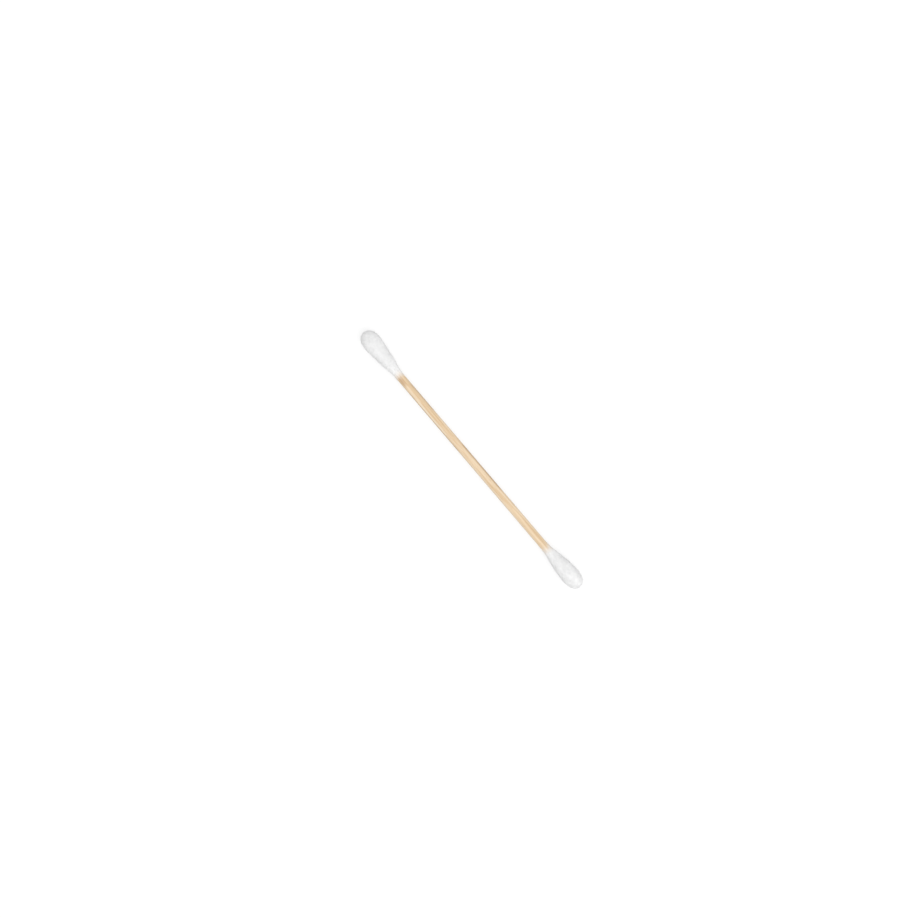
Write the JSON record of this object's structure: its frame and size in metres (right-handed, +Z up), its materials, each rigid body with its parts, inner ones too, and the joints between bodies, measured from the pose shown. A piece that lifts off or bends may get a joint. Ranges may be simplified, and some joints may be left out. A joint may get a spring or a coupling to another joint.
{
  "type": "cotton swab",
  "caption": "Double-ended cotton swab: a thin round wooden stick with a bud of wound white cotton on each end, one full with a shoulder and one slimmer with an even taper.",
  "frame": {"origin": "on the surface that the swab lies on, under the middle of the stick", "axes": "+X along the stick from the full left bud to the slimmer right bud, +Y sideways towards the side that both buds lean to, +Z up, away from the flats that the swab rests on"},
  "size_m": [0.075, 0.0043, 0.0042],
  "materials": {
    "birch_wood": "raw, tumbled smooth",
    "wound_cotton": "matt fibre"
  },
  "bodies": {
    "root": {"wooden_stick": "birch_wood", "left_cotton_bud": "wound_cotton", "right_cotton_bud": "wound_cotton"}
  },
  "joints": []
}
